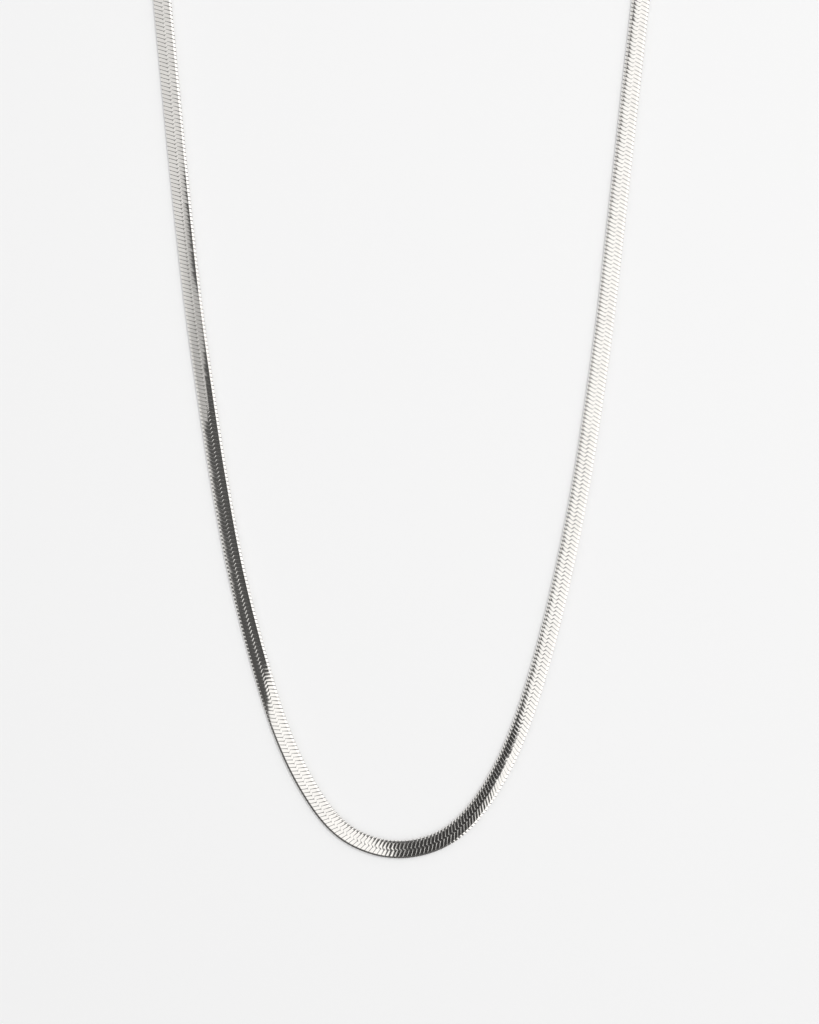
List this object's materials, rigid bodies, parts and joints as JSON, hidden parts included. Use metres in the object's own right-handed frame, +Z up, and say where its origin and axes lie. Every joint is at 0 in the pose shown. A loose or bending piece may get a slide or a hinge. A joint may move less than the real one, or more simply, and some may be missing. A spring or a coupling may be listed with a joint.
{
  "type": "herringbone chain necklace",
  "caption": "Flat herringbone chain necklace lying in a drop shape, closed at the back by end caps, jump rings and a plain clasp.",
  "frame": {"origin": "centre of the necklace's outline, on the surface that it lies on", "axes": "+Z up from the surface, +Y from the drop of the chain towards the clasp, +X to the right seen from above"},
  "size_m": [0.0834, 0.1924, 0.0038],
  "materials": {
    "chain_silver": "polished silver, flat woven links",
    "fittings_silver": "polished silver"
  },
  "bodies": {
    "root": {"chain_band": "chain_silver", "end_cap_left": "fittings_silver", "end_cap_right": "fittings_silver", "jump_ring_left": "fittings_silver", "jump_ring_right": "fittings_silver", "clasp": "fittings_silver"}
  },
  "joints": []
}
